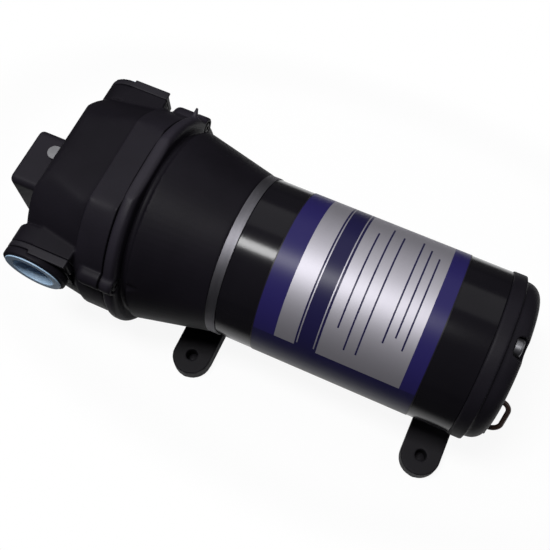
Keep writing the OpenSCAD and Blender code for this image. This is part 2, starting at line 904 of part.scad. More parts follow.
module bell_screws() {
    wall_s = ring_s - housing_wall;
    head_h = bell_screw_head_h;
    color("#c9ccd1") for (p = bell_screw_places()) difference() {
        union() {
            side_rod(p, bell_screw_r, wall_s - cut, ring_s + bell_web - fit_gap);
            side_rod(p, bell_screw_head_r, wall_s - head_h, wall_s);
        }
        axial(wall_s - head_h - cut) translate([p[0], p[1], 0])
            cylinder(r = bell_screw_r * 0.8, h = head_h / 2 + cut, $fn = 6);
    }
}

module diaphragm() {
    color("#2a2a2c") difference() {
        union() {
            difference() {
                rod(diaphragm_r, joint_s, joint_s + diaphragm_t);
                for (p = piston_places())
                    side_rod(p, fold_out_r - fold_t / 2, joint_s - cut, joint_s + diaphragm_t + cut);
            }
            for (p = piston_places()) {
                axial(pivot_s) translate([p[0], p[1], 0]) rotate_extrude() rolling_fold();
                tilted() translate([p[0], p[1], -diaphragm_t / 2]) cylinder(r = pad_r, h = diaphragm_t);
            }
        }
        for (p = piston_places()) tilted() translate([p[0], p[1], -diaphragm_t])
            cylinder(r = piston_screw_r + screw_hole_gap, h = 2 * diaphragm_t);
    }
}

// Half section of the fold round one piston, hanging towards the motor
module rolling_fold() {
    translate([fold_in_r, -fold_front]) square([fold_t, fold_front + fold_depth]);
    translate([fold_in_r, fold_depth - fold_t]) square([fold_out_r - fold_in_r, fold_t]);
    translate([fold_out_r - fold_t, -diaphragm_t / 2]) square([fold_t, diaphragm_t / 2 + fold_depth]);
}

function inlet_places() = [for (k = [0:3]) around(piston_ring_r + inlet_shift, 45 + 90 * k)];

module valve_plate() {
    color("#cfcdc4") difference() {
        rod(valve_plate_r, valve_front_s, joint_s);
        for (p = piston_places())
            side_rod(p, chamber_r, chamber_floor_s, joint_s + cut);
        for (p = inlet_places()) {
            side_rod(p, stem_r + fit_gap, valve_front_s - cut, chamber_floor_s + cut);
            for (k = [0:inlet_holes - 1])
                side_rod(p + around(inlet_hole_ring, 360 / inlet_holes * k), inlet_hole_r,
                    valve_front_s - cut, chamber_floor_s + cut);
        }
        for (k = [0:3], a = [-1:1])
            side_rod(around(outlet_hole_ring, 45 + 90 * k + outlet_hole_spread * a), outlet_hole_r,
                valve_front_s - cut, chamber_floor_s + cut);
        rod(stem_r + fit_gap, valve_front_s - cut, valve_front_s + outlet_stem_len);
        ring(ring_seal_r + ring_seal_wire + fit_gap, ring_seal_r - ring_seal_wire - fit_gap,
            valve_front_s - cut, valve_front_s + 2 * ring_seal_wire);
    }
}

module inlet_valves() {
    color("#3b3b3e") for (p = inlet_places()) {
        side_rod(p, stem_r, valve_front_s - cut / 2, chamber_floor_s + cut / 2);
        axial(chamber_floor_s) translate([p[0], p[1], 0])
            rotate_extrude() rounded_end(inlet_disc_r, inlet_disc_t, inlet_disc_t / 2);
        axial(valve_front_s - barb_len) translate([p[0], p[1], 0])
            cylinder(r1 = stem_r / 2, r2 = barb_r, h = barb_len);
    }
}

module outlet_valve() {
    color("#3b3b3e") difference() {
        union() {
            rod(outlet_disc_r, valve_front_s - outlet_disc_t, valve_front_s);
            rod(stem_r, valve_front_s - cut, valve_front_s + outlet_stem_len - fit_gap);
        }
        for (k = [0:3]) axial(valve_front_s - outlet_disc_t - cut) rotate([0, 0, 90 * k])
            translate([outlet_disc_r / 3, -lobe_slot / 2, 0])
                cube([outlet_disc_r, lobe_slot, outlet_disc_t + 1.5 * cut]);
    }
}

module head_seals() {
    color("#202022") {
        axial(valve_front_s + ring_seal_wire) rotate_extrude()
            translate([ring_seal_r, 0]) circle(r = ring_seal_wire);
        ring(wall_out_r, wall_in_r, valve_front_s - inner_seal_t, valve_front_s);
    }
}

module upper_housing() {
    color("#1c1c1f") difference() {
        union() {
            difference() {
                head_shell();
                rod(valve_plate_r + slide_gap, valve_front_s, joint_s + cut);
                rod(gallery_r, gallery_s, valve_front_s + cut);
            }
            ring(wall_out_r, wall_in_r, gallery_s - cut, valve_front_s - inner_seal_t);
            port_boss(-1, seal_in);
            port_boss(1, far_boss_in);
        }
        for (side = [-1, 1]) at_port(side) {
            translate([0, 0, port_face(side) - mouth_depth])
                cylinder(r = mouth_r, h = mouth_depth + cut);
            translate([0, 0, seal_in - cut]) cylinder(r = seal_r, h = port_face(side) - seal_in);
            clip_room();
        }
        at_port(1) cylinder(r = passage_r, h = seal_in);
        at_port(-1) translate([0, 0, relief_in])
            cylinder(r = seal_r + relief, h = seal_in - relief_in - cut / 2);
        at_switch() rod(sense_r, front_s - cut, gallery_s + cut);
        for (p = lug_places())
            side_rod(p, head_screw_r + fit_gap, top_s + lug_front + head_screw_end, joint_s + cut);
        for (p = switch_screw_places())
            at_switch() side_rod(p, switch_screw_r + fit_gap, front_s - cut, front_s + switch_screw_in);
    }
}

// The upper housing's outside: the band beside the flange, the tapered front part, lugs and port barrels
module head_shell() {
    front_round = 3;
    between_flats(band_flat, top_s, joint_s)
        rod(band_r, top_s, joint_s);
    intersection() {
        front_block();
        axial(front_s) rotate_extrude() {
            polygon([[0, 0], [top_front_r - front_round, 0], [top_front_r, front_round],
                [top_rear_r, top_len + fit_gap], [0, top_len + fit_gap]]);
            translate([top_front_r - front_round, front_round]) circle(r = front_round);
        }
    }
    for (p = lug_places())
        axial(joint_s) translate([p[0], p[1], 0]) rotate([180, 0, 0])
            rotate_extrude() rounded_end(lug_r, joint_s - top_s - lug_front, lug_round);
    for (side = [-1, 1]) at_port(side) {
        translate([0, 0, barrel_in]) cylinder(r = port_r, h = port_face(side) - barrel_in);
        translate([0, -block_h / 2, seal_in])
            cube([top_len - port_in, block_h, clip_in - slide_gap - seal_in]);
    }
}

// What lies between the front part's flats, whose front edges are rounded
module front_block() {
    reach = 80;
    middle = top_flat - top_round;
    translate([front_s - origin_s, reach, axis_h]) rotate([90, 0, 0]) linear_extrude(2 * reach) {
        translate([top_round, -top_flat]) square([top_len + cut - top_round, 2 * top_flat]);
        translate([0, -middle]) square([top_len + cut, 2 * middle]);
        for (z = [-middle, middle])
            translate([top_round, z]) circle(r = top_round);
    }
}

// A pipe inside the head that carries a port's seal bore inwards
module port_boss(side, inner_end) {
    intersection() {
        at_port(side) translate([0, 0, inner_end])
            cylinder(r = seal_r + boss_wall, h = port_face(side) - mouth_depth - inner_end);
        rod(gallery_r + cut, front_s + 1.5, valve_front_s);
    }
}

// The slot that a clip slides in, across a barrel's mouth
module clip_room() {
    far = port_r + 1;
    low = leg_down + slide_gap;
    in_r = leg_in - slide_gap;
    translate([0, 0, clip_in - slide_gap]) linear_extrude(clip_t + 2 * slide_gap) difference() {
        translate([-far, -low]) square([2 * far, low + far]);
        circle(r = in_r);
        translate([-in_r, -low - cut]) square([2 * in_r, low + cut]);
    }
    translate([-slide_gap, block_h / 2 - grip_h - slide_gap, clip_in - slide_gap])
        cube([far + slide_gap, far, grip_t + 2 * slide_gap]);
}

module head_screws() {
    seat_s = flange_s - head_screw_head_h;
    color("#b4b7bd") for (p = lug_places()) difference() {
        union() {
            side_rod(p, head_screw_r, top_s + lug_front + head_screw_end + fit_gap, seat_s + cut);
            axial(seat_s) translate([p[0], p[1], 0])
                rotate_extrude() rounded_end(head_screw_head_r, head_screw_head_h, head_screw_head_h / 3);
        }
        axial(seat_s + head_screw_head_h / 2) translate([p[0], p[1], 0])
            cylinder(r = head_screw_r * 0.8, h = head_screw_head_h, $fn = 6);
    }
}

// A horseshoe round the barrel with a thumb plate beside it, whose top edge is a thicker grip
module clip(side) {
    below = clip_r + cut;
    color("#232327") at_port(side) translate([0, 0, clip_in]) {
        linear_extrude(clip_t) difference() {
            union() {
                circle(r = clip_r);
                translate([-clip_r, -leg_down]) square([2 * clip_r, leg_down]);
                translate([0, thumb_low]) square([thumb_rear, block_h / 2 - thumb_low]);
            }
            circle(r = leg_in);
            translate([-leg_in, -leg_down - cut]) square([2 * leg_in, leg_down + cut]);
            translate([-below, -leg_down - below]) square([2 * below, below]);
        }
        translate([0, block_h / 2 - grip_h, 0]) cube([thumb_rear, grip_h, grip_t]);
    }
}

module clip_near() {
    clip(-1);
}

module clip_far() {
    clip(1);
}

module plug(side) {
    face_z = port_face(side) + plug_gap;
    floor_z = port_face(side) - mouth_depth + plug_in;
    color("#7fb2dd") at_port(side) difference() {
        union() {
            translate([0, 0, floor_z])
                cylinder(r = mouth_r - plug_gap, h = face_z + cut / 2 - floor_z);
            translate([0, 0, face_z])
                rotate_extrude() rounded_rim(plug_rim_r, plug_rim_t, plug_rim_t / 3);
        }
        translate([0, 0, floor_z + plug_floor])
            cylinder(r = mouth_r - plug_gap - plug_wall, h = mouth_depth + 2 * plug_rim_t);
    }
}

module plug_near() {
    plug(-1);
}

module plug_far() {
    plug(1);
}

module switch_base() {
    leg_y = plunger_r + 0.5;
    color("#26262a") at_switch() difference() {
        union() {
            box(base_w, base_h, base_s, front_s);
            box(bridge_w, 2 * (leg_y + bridge_leg), bridge_s, bridge_s + bridge_t);
            for (z = [-leg_y - bridge_leg, leg_y])
                axial(bridge_s) translate([-bridge_w / 2, z, 0])
                    cube([bridge_w, bridge_leg, base_s - bridge_s + cut]);
        }
        rod(sense_disc_r + base_gap, front_s - sense_disc_t, front_s + cut);
        rod(plunger_r + run_gap, base_s - cut, front_s);
        rod(plunger_stem_r + run_gap, bridge_s - cut, bridge_s + bridge_t + cut);
        for (p = switch_screw_places())
            side_rod(p, switch_screw_r + base_gap, base_s - cut, front_s + cut);
    }
}

module switch_diaphragm() {
    color("#2a2a2c") at_switch() rod(sense_disc_r, front_s - sense_disc_t, front_s);
}

module switch_plunger() {
    color("#e3e1d8") at_switch() {
        rod(plunger_r, plunger_s, plunger_s + plunger_t);
        rod(plunger_stem_r, plunger_tip_s, plunger_s + cut);
    }
}

module switch_spring() {
    color("#c0c2c6") at_switch() ring(switch_spring_r, switch_spring_bore,
        bridge_s + bridge_t + run_gap, plunger_s - run_gap);
}

module microswitch() {
    color("#30303a") at_switch() difference() {
        box(switch_body_l, switch_body_h, bridge_s - switch_body_t, bridge_s);
        rod(button_r + run_gap, bridge_s - button_in - plunger_travel - cut / 2, bridge_s + cut);
    }
}

module switch_button() {
    color("#b03a30") at_switch() rod(button_r, bridge_s - button_in, plunger_tip_s - run_gap);
}

// One bent terminal: out of the switch body, back along the cover, out through its slot and folded over
module terminal() {
    inner_s = bridge_s - switch_body_t / 2;
    outer_z = switch_h / 2 + terminal_proud;
    axial(inner_s) translate([terminal_side, switch_body_h / 2, 0])
        cube([terminal_w, terminal_level - switch_body_h / 2, terminal_t]);
    axial(inner_s) translate([terminal_side, terminal_level - terminal_t, 0])
        cube([terminal_w, terminal_t, terminal_s + terminal_t - inner_s]);
    axial(terminal_s) translate([terminal_side, terminal_level - terminal_t, 0])
        cube([terminal_w, outer_z - terminal_level + terminal_t, terminal_t]);
    axial(terminal_s + terminal_t) translate([terminal_side + terminal_w / 2, outer_z, 0])
        rotate([90, 0, 0]) linear_extrude(terminal_t) translate([0, terminal_w / 2 - terminal_tab]) {
            circle(d = terminal_w);
            translate([-terminal_w / 2, 0]) square([terminal_w, terminal_tab - terminal_w / 2]);
        }
}

module switch_terminals() {
    color("#c9ccd1") at_switch() {
        terminal();
        under() terminal();
    }
}

// The same shape half a turn round the axis
module under() {
    translate([0, 0, axis_h]) rotate([180, 0, 0]) translate([0, 0, -axis_h]) children();
}

module terminal_slot() {
    axial(terminal_s - slide_gap) translate([terminal_side - slide_gap, 0, 0])
        cube([terminal_w + 2 * slide_gap, switch_h, terminal_t + 2 * slide_gap]);
}

// The cover's outside: rounded corners, and a smaller round along the edges of its front
module cover_outside() {
    length = front_s - switch_s;
    in_y = switch_w / 2 - switch_round;
    in_z = switch_h / 2 - switch_round;
    for (y = [-in_y, in_y], z = [-in_z, in_z])
        axial(front_s) translate([y, z, 0]) rotate([180, 0, 0])
            rotate_extrude() rounded_end(switch_round, length, switch_edge);
    axial(switch_s) translate([-in_y, 0, 0]) rotate([90, 0, 90])
        linear_extrude(2 * in_y) round_front(switch_h, length, switch_edge);
    axial(switch_s) translate([0, in_z, 0]) rotate([90, 0, 0])
        linear_extrude(2 * in_z) round_front(switch_w, length, switch_edge);
}

// Outline of a slab whose two front corners are rounded
module round_front(width, length, round_r) {
    side = width / 2 - round_r;
    translate([-side, 0]) square([2 * side, length]);
    translate([-width / 2, round_r]) square([width, length - round_r]);
    for (x = [-side, side])
        translate([x, round_r]) circle(r = round_r);
}

module switch_cover() {
    color("#1c1c1f") at_switch() difference() {
        union() {
            difference() {
                cover_outside();
                box(switch_w - 2 * switch_wall, switch_h - 2 * switch_wall,
                    switch_s + switch_wall, front_s + cut);
            }
            for (p = switch_screw_places())
                side_rod(p, switch_post_r, switch_s, base_s - base_gap);
        }
        for (p = switch_screw_places()) {
            side_rod(p, switch_screw_r + base_gap, switch_s - cut, front_s);
            side_rod(p, switch_screw_head_r + base_gap, switch_s - cut, switch_s + switch_screw_head_h);
        }
        intersection() {
            union() {
                terminal_slot();
                under() terminal_slot();
            }
            difference() {
                box(switch_w, switch_h + 2 * cut, switch_s, front_s);
                box(switch_w, switch_h - 3 * switch_wall, switch_s - cut, front_s + cut);
            }
        }
    }
}

module switch_screws() {
    seat_s = switch_s + switch_screw_head_h;
    color("#b4b7bd") at_switch() for (p = switch_screw_places()) difference() {
        union() {
            side_rod(p, switch_screw_head_r, switch_s + fit_gap, seat_s);
            side_rod(p, switch_screw_r, seat_s - cut, front_s + switch_screw_in - fit_gap);
        }
        axial(switch_s - cut) translate([p[0], p[1], 0])
            cylinder(r = switch_screw_r * 0.8, h = switch_screw_head_h / 2 + cut, $fn = 6);
    }
}

// A rubber foot bar with round ends, two mounting holes and two recessed screw holes
module foot(s) {
    x = s - origin_s;
    color("#161618") difference() {
        union() {
            translate([x - foot_r, -hole_gap / 2, 0]) cube([foot_w, hole_gap, foot_t]);
            for (y = [-hole_gap / 2, hole_gap / 2])
                translate([x, y, 0]) cylinder(r = foot_r, h = foot_t);
        }
        for (y = [-hole_gap / 2, hole_gap / 2])
            translate([x, y, -cut]) cylinder(r = hole_r, h = foot_t + 2 * cut);
        for (y = [-foot_screw_y, foot_screw_y]) translate([x, y, -cut]) {
            cylinder(r = foot_screw_r + base_gap, h = foot_t + 2 * cut);
            cylinder(r = foot_screw_head_r + base_gap, h = foot_screw_recess + cut);
        }
    }
}

module front_foot() {
    foot(front_foot_s);
}

module rear_foot() {
    foot(rear_foot_s);
}

module rear_saddle() {
    color("#19191c") difference() {
        pedestal(saddle_rear_s - saddle_l, saddle_rear_s);
        rod(motor_r + fit_gap, saddle_rear_s - saddle_l - cut, saddle_rear_s + cut);
        foot_screw_holes(rear_foot_s);
    }
}

module foot_screws() {
    color("#b4b7bd") for (s = [front_foot_s, rear_foot_s], y = [-foot_screw_y, foot_screw_y])
        translate([s - origin_s, y, foot_screw_recess]) difference() {
            union() {
                translate([0, 0, -foot_screw_head_h])
                    cylinder(r = foot_screw_head_r, h = foot_screw_head_h);
                translate([0, 0, -cut])
                    cylinder(r = foot_screw_r, h = foot_t - foot_screw_recess + foot_screw_in);
            }
            translate([0, 0, -foot_screw_head_h - cut])
                cylinder(r = foot_screw_r * 0.8, h = foot_screw_head_h / 2 + cut, $fn = 6);
        }
}

// One ring of points round the lead, at angle a of its two bends, with a straight run between them;
// leg goes back into the cap
function lead_ring(a, leg) = let (u = (lead_back - lead_out) / lead_span,
        over = (lead_span / 2 - lead_bend) * sign(a - 90))
    [for (k = [0:lead_sides - 1])
        let (reach = lead_bend + lead_r * cos(360 / lead_sides * k))
        let (side = lead_r * sin(360 / lead_sides * k))
        let (along = over - reach * cos(a))
        [lead_mid[0] + along * u[0] - side * u[1], lead_mid[1] + along * u[1] + side * u[0],
            reach * sin(a) - leg]];

// The lead is one tube: out of the cap, round its two bends and back in
module lead_loop() {
    leg = rear_s + grommet_lip - card_s - card_t - fit_gap;
    rings = concat([lead_ring(0, leg)], [for (k = [0:lead_steps]) lead_ring(180 / lead_steps * k, 0)],
        [lead_ring(180, leg)]);
    last = (len(rings) - 1) * lead_sides;
    sides = [for (i = [0:len(rings) - 2], k = [0:lead_sides - 1], half = [0, 1])
        let (a = i * lead_sides + k, b = i * lead_sides + (k + 1) % lead_sides)
        half == 0 ? [a, b, b + lead_sides] : [a, b + lead_sides, a + lead_sides]];
    ends = [for (k = [1:lead_sides - 2], far = [0, 1])
        far == 0 ? [0, k + 1, k] : [last, last + k, last + k + 1]];
    color("#3a2a22") axial(rear_s + grommet_lip)
        polyhedron(points = [for (r = rings) each r], faces = concat(sides, ends));
}

module lead_grommets() {
    color("#101012") for (p = [lead_out, lead_back]) difference() {
        union() {
            side_rod(p, grommet_r, rear_s - cap_wall, rear_s + cut / 2);
            side_rod(p, grommet_r + grommet_lip, rear_s + fit_gap, rear_s + grommet_lip);
        }
        side_rod(p, lead_r + fit_gap, rear_s - cap_wall - cut, rear_s + grommet_lip + cut);
    }
}

motor_tube();
motor_label();
front_bell();
rear_cap();
through_bolts();
magnets();
shaft();
rotor_core();
windings();
commutator();
brush_card();
brush_near();
brush_far();
brush_spring_near();
brush_spring_far();
rear_bush();
thrust_washer();
front_bearing_outer();
front_bearing_inner();
front_bearing_balls();
cam();
cam_grub_screw();
cam_bearing_inner();
cam_bearing_balls();
cam_bearing_outer();
wobble_plate();
pistons();
piston_screws();
lower_housing();
bell_screws();
diaphragm();
valve_plate();
inlet_valves();
outlet_valve();
head_seals();
upper_housing();
head_screws();
clip_near();
clip_far();
plug_near();
plug_far();
switch_base();
switch_diaphragm();
switch_plunger();
switch_spring();
microswitch();
switch_button();
switch_terminals();
switch_cover();
switch_screws();
front_foot();
rear_foot();
rear_saddle();
foot_screws();
lead_loop();
lead_grommets();
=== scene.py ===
from math import acos, cos, pi, radians, sin, tan

import bmesh
import bpy
from mathutils import Matrix, Vector


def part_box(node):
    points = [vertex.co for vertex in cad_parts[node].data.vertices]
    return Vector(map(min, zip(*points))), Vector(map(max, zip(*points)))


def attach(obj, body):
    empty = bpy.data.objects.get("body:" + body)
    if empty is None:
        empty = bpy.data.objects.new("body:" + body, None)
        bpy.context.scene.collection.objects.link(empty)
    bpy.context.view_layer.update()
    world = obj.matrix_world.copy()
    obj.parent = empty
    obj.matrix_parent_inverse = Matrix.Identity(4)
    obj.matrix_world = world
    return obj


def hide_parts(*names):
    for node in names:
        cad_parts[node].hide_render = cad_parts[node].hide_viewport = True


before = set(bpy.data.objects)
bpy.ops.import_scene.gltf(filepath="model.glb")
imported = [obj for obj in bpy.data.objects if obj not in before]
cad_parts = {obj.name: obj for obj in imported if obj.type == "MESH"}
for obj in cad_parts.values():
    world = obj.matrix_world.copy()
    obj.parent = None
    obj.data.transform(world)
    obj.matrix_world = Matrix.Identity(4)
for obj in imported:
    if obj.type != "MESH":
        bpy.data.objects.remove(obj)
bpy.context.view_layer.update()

scene = bpy.context.scene
scene.view_settings.view_transform = "Standard"


# Camera: it looks down on the near side from a little behind the pump's middle.
# Its place, turn and field of view come from the motor's ring, the label's edges and the feet.
swing, height, roll = radians(21.848), radians(67.257), radians(2.312)
picture_px, focal_px, middle_px = 550, 820, (298.39, 288.18)
camera_place = (0.031842, -0.131286, 0.377003)
back = Vector((sin(swing) * cos(height), -cos(swing) * cos(height), sin(height)))
level = Vector((cos(swing), sin(swing), 0))
rise = back.cross(level)
lens = bpy.data.cameras.new("camera")
lens.sensor_width = 36
lens.lens = focal_px / picture_px * lens.sensor_width
lens.shift_x = 0.5 - middle_px[0] / picture_px
lens.shift_y = middle_px[1] / picture_px - 0.5
camera = bpy.data.objects.new("camera", lens)
stand = Matrix((cos(roll) * level + sin(roll) * rise, cos(roll) * rise - sin(roll) * level, back))
camera.matrix_world = Matrix.Translation(camera_place) @ stand.transposed().to_4x4()
scene.collection.objects.link(camera)
scene.camera = camera


# Lead loop: a thin sleeved wire that leaves the rear cap through a grommet, bends over, runs across
# and bends back in through a second one. Brown plastic sleeve, limp, held by the two grommets.
MM = 0.001
AXIS_Z = 52
LEAD_R, LEAD_BEND, LEAD_END_GAP = 1.125, 4.6, 0.02
LEAD_OUT, LEAD_BACK = (17.2, 173), (27.7, 207)
LEAD_FIT, LEAD_STEPS = 0.98, 32
lead_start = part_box("lead_loop")[0][0] / MM + LEAD_END_GAP
lead_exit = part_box("lead_loop")[1][0] / MM - LEAD_BEND - LEAD_R
lead_out, lead_back = (Vector((r * cos(radians(turn)), AXIS_Z + r * sin(radians(turn))))
                       for r, turn in (LEAD_OUT, LEAD_BACK))
lead_way = (lead_back - lead_out).normalized()
lead_half = (lead_back - lead_out).length / 2


def finish(name, colour, spread, rough, grain=400, bump=0.05, metal=0.0, specular=0.5, stretch=(1, 1, 1)):
    """A surface whose colour, roughness and fine relief follow two noises; grain is per metre."""
    wear_share, relief_depth, coarse_step, fine_step = 0.12, 0.2, 12, 4
    made = bpy.data.materials.new(name)
    made.use_nodes = True
    tree = made.node_tree
    shader = tree.nodes["Principled BSDF"]
    shader.inputs["Metallic"].default_value = metal
    shader.inputs["Specular IOR Level"].default_value = specular
    place = tree.nodes.new("ShaderNodeTexCoord")
    scale = tree.nodes.new("ShaderNodeMapping")
    scale.inputs["Scale"].default_value = stretch
    tree.links.new(place.outputs["Object"], scale.inputs["Vector"])
    coarse = tree.nodes.new("ShaderNodeTexNoise")
    coarse.inputs["Scale"].default_value = grain / coarse_step
    coarse.inputs["Detail"].default_value = 4
    fine = tree.nodes.new("ShaderNodeTexNoise")
    fine.inputs["Scale"].default_value = grain * fine_step
    fine.inputs["Detail"].default_value = 3
    tint = tree.nodes.new("ShaderNodeValToRGB")
    tint.color_ramp.elements[0].position = 0.3
    tint.color_ramp.elements[1].position = 0.7
    tint.color_ramp.elements[0].color = (*[c * (1 - spread) for c in colour], 1)
    tint.color_ramp.elements[1].color = (*[min(1, c * (1 + spread)) for c in colour], 1)
    wear = tree.nodes.new("ShaderNodeMapRange")
    wear.inputs["To Min"].default_value = rough * (1 - wear_share)
    wear.inputs["To Max"].default_value = min(1, rough * (1 + wear_share))
    relief = tree.nodes.new("ShaderNodeBump")
    relief.inputs["Strength"].default_value = bump
    relief.inputs["Distance"].default_value = relief_depth * MM
    for noise in (coarse, fine):
        tree.links.new(scale.outputs["Vector"], noise.inputs["Vector"])
    tree.links.new(coarse.outputs["Fac"], tint.inputs["Fac"])
    tree.links.new(tint.outputs["Color"], shader.inputs["Base Color"])
    tree.links.new(fine.outputs["Fac"], wear.inputs["Value"])
    tree.links.new(wear.outputs["Result"], shader.inputs["Roughness"])
    tree.links.new(fine.outputs["Fac"], relief.inputs["Height"])
    tree.links.new(relief.outputs["Normal"], shader.inputs["Normal"])
    return made


lead_line = bpy.data.curves.new("lead", "CURVE")
lead_line.dimensions = "3D"
lead_line.bevel_depth = LEAD_R * LEAD_FIT * MM
lead_line.bevel_resolution = 6
lead_line.use_fill_caps = True
lead_points = [(lead_start, *lead_out)]
for step in range(LEAD_STEPS + 1):
    turn = pi * step / LEAD_STEPS
    past_middle = (step > LEAD_STEPS / 2) - (step < LEAD_STEPS / 2)
    over = (lead_half - LEAD_BEND) * past_middle
    across = (lead_out + lead_back) / 2 + lead_way * (over - LEAD_BEND * cos(turn))
    lead_points.append((lead_exit + LEAD_BEND * sin(turn), *across))
lead_points.append((lead_start, *lead_back))
strand = lead_line.splines.new("POLY")
strand.points.add(len(lead_points) - 1)
for point, at in zip(strand.points, lead_points):
    point.co = (*(v * MM for v in at), 1)
lead = bpy.data.objects.new("lead", lead_line)
scene.collection.objects.link(lead)
lead_line.materials.append(finish("lead_sleeve", (0.045, 0.024, 0.016), spread=0.25, rough=0.42, grain=900,
                                  bump=0.08))
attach(lead, "housing")
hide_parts("lead_loop")


# Floor and light: a floor painted white in a pool round the pump and dark beyond it, a painted pool of
# light, a soft lamp overhead, three weak ones that fill the other sides, and dim walls. The floor shows as
# white to the camera, metal mirrors the painted pool near the pump as a painted reflection, and the pump's
# shadow stays.
LIT_POOL, UNLIT_FLOOR, WALL = (0.86, 0.86, 0.86), (0.05, 0.05, 0.05), (0.040, 0.038, 0.046)
FLOOR_HALF, FLOOR_DROP = 4, 0.02
POOL_NEAR, POOL_FAR, POOL_MIDDLE, POOL_SQUEEZE = 0.09, 0.13, 0.03, 0.5
SHADOW_SHARE, POOL_MIRROR, WALL_MIRROR = 0.08, 0.3, 0.02
sheet_mesh = bpy.data.meshes.new("floor")
floor_corners = [(x * FLOOR_HALF, y * FLOOR_HALF, 0) for x, y in ((-1, -1), (1, -1), (1, 1), (-1, 1))]
sheet_mesh.from_pydata(floor_corners, [], [(0, 1, 2, 3)])
floor = bpy.data.objects.new("floor", sheet_mesh)
floor.location.z = -FLOOR_DROP * MM
scene.collection.objects.link(floor)
painted_pool_floor = finish("floor_painted_pool", LIT_POOL, spread=0.01, rough=0.9, grain=60, bump=0.01, specular=0.1)
floor_tree = painted_pool_floor.node_tree


def reckon(tree, kind, a, b=None):
    """One arithmetic step in a surface's nodes: a and b are numbers or sockets."""
    step = tree.nodes.new("ShaderNodeMath")
    step.operation = kind
    for socket, value in zip(step.inputs, (a, b)):
        if value is None:
            continue
        if isinstance(value, (int, float)):
            socket.default_value = value
        else:
            tree.links.new(value, socket)
    return step.outputs[0]


def seen_white(tree, straight, mirrored):
    """How far a ray sees plain white: one share for the camera's rays, one for mirrored and passed rays."""
    ray = tree.nodes.new("ShaderNodeLightPath")
    bounced = reckon(tree, "MAXIMUM", ray.outputs["Is Glossy Ray"], ray.outputs["Is Transmission Ray"])
    return reckon(tree, "MAXIMUM", reckon(tree, "MULTIPLY", ray.outputs["Is Camera Ray"], straight),
                  reckon(tree, "MULTIPLY", bounced, mirrored))


floor_spot = floor_tree.nodes.new("ShaderNodeTexCoord")
squeeze = floor_tree.nodes.new("ShaderNodeMapping")
squeeze.inputs["Scale"].default_value = (POOL_SQUEEZE, 1, 1)
squeeze.inputs["Location"].default_value = (0, -POOL_MIDDLE, 0)
reach = floor_tree.nodes.new("ShaderNodeVectorMath")
reach.operation = "LENGTH"
edge = floor_tree.nodes.new("ShaderNodeMapRange")
edge.interpolation_type = "SMOOTHSTEP"
edge.inputs["From Min"].default_value = POOL_NEAR
edge.inputs["From Max"].default_value = POOL_FAR
edge.inputs["To Min"].default_value = 1
edge.inputs["To Max"].default_value = 0
floor_tree.links.new(floor_spot.outputs["Object"], squeeze.inputs["Vector"])
floor_tree.links.new(squeeze.outputs["Vector"], reach.inputs[0])
floor_tree.links.new(reach.outputs["Value"], edge.inputs["Value"])
# The floor's colour is painted white inside this pool round the pump and dark outside it: a painted pool of
# light.
in_painted_pool = edge.outputs["Result"]
painted_pool_colour = floor_tree.nodes.new("ShaderNodeMix")
painted_pool_colour.data_type = "RGBA"
painted_pool_colour.inputs["A"].default_value = (*UNLIT_FLOOR, 1)
painted_pool_colour.inputs["B"].default_value = (*LIT_POOL, 1)
floor_tree.links.new(in_painted_pool, painted_pool_colour.inputs["Factor"])
shade = floor_tree.nodes["Principled BSDF"]
floor_tree.links.new(painted_pool_colour.outputs["Result"], shade.inputs["Base Color"])
glow = floor_tree.nodes.new("ShaderNodeEmission")
glow.inputs["Color"].default_value = (1, 1, 1, 1)
mixed = floor_tree.nodes.new("ShaderNodeMixShader")
left_white = reckon(floor_tree, "SUBTRACT", 1, reckon(floor_tree, "MULTIPLY", in_painted_pool, SHADOW_SHARE))
# Mirrored rays see the floor glow white inside the pool: a painted reflection.
mirrored_white = reckon(floor_tree, "MULTIPLY", in_painted_pool, POOL_MIRROR)
floor_tree.links.new(seen_white(floor_tree, left_white, mirrored_white), mixed.inputs["Fac"])
floor_tree.links.new(shade.outputs["BSDF"], mixed.inputs[1])
floor_tree.links.new(glow.outputs["Emission"], mixed.inputs[2])
floor_tree.links.new(mixed.outputs["Shader"], floor_tree.nodes["Material Output"].inputs["Surface"])
sheet_mesh.materials.append(painted_pool_floor)

walls = bpy.data.worlds.new("walls")
walls.use_nodes = True
wall_tree = walls.node_tree
dim = wall_tree.nodes["Background"]
dim.inputs["Color"].default_value = (*WALL, 1)
white = wall_tree.nodes.new("ShaderNodeBackground")
white.inputs["Color"].default_value = (1, 1, 1, 1)
mixed = wall_tree.nodes.new("ShaderNodeMixShader")
wall_tree.links.new(seen_white(wall_tree, 1, WALL_MIRROR), mixed.inputs["Fac"])
wall_tree.links.new(dim.outputs["Background"], mixed.inputs[1])
wall_tree.links.new(white.outputs["Background"], mixed.inputs[2])
wall_tree.links.new(mixed.outputs["Shader"], wall_tree.nodes["World Output"].inputs["Surface"])
scene.world = walls

LAMP_AWAY = 0.95
for name, aim, size, power in (("lamp_over", (-0.19, -0.135, 0.97), (0.32, 0.18), 8.5),
                               ("lamp_far", (-0.10, 0.62, 0.78), (0.70, 0.70), 1.5),
                               ("lamp_front", (-0.80, 0.10, 0.55), (0.60, 0.60), 1.3),
                               ("lamp_rear", (0.85, 0.20, 0.50), (0.60, 0.60), 1.3)):
    glare = bpy.data.lights.new(name, "AREA")
    glare.shape = "RECTANGLE"
    glare.size, glare.size_y = size
    glare.energy = power
    lamp = bpy.data.objects.new(name, glare)
    away = Vector(aim).normalized()
    wide = (Vector((1, 0, 0)) - away.x * away).normalized()
    turn = Matrix((wide, away.cross(wide), away)).transposed().to_4x4()
    lamp.matrix_world = Matrix.Translation(Vector((0, 0, AXIS_Z * MM)) + LAMP_AWAY * away) @ turn
    scene.collection.objects.link(lamp)


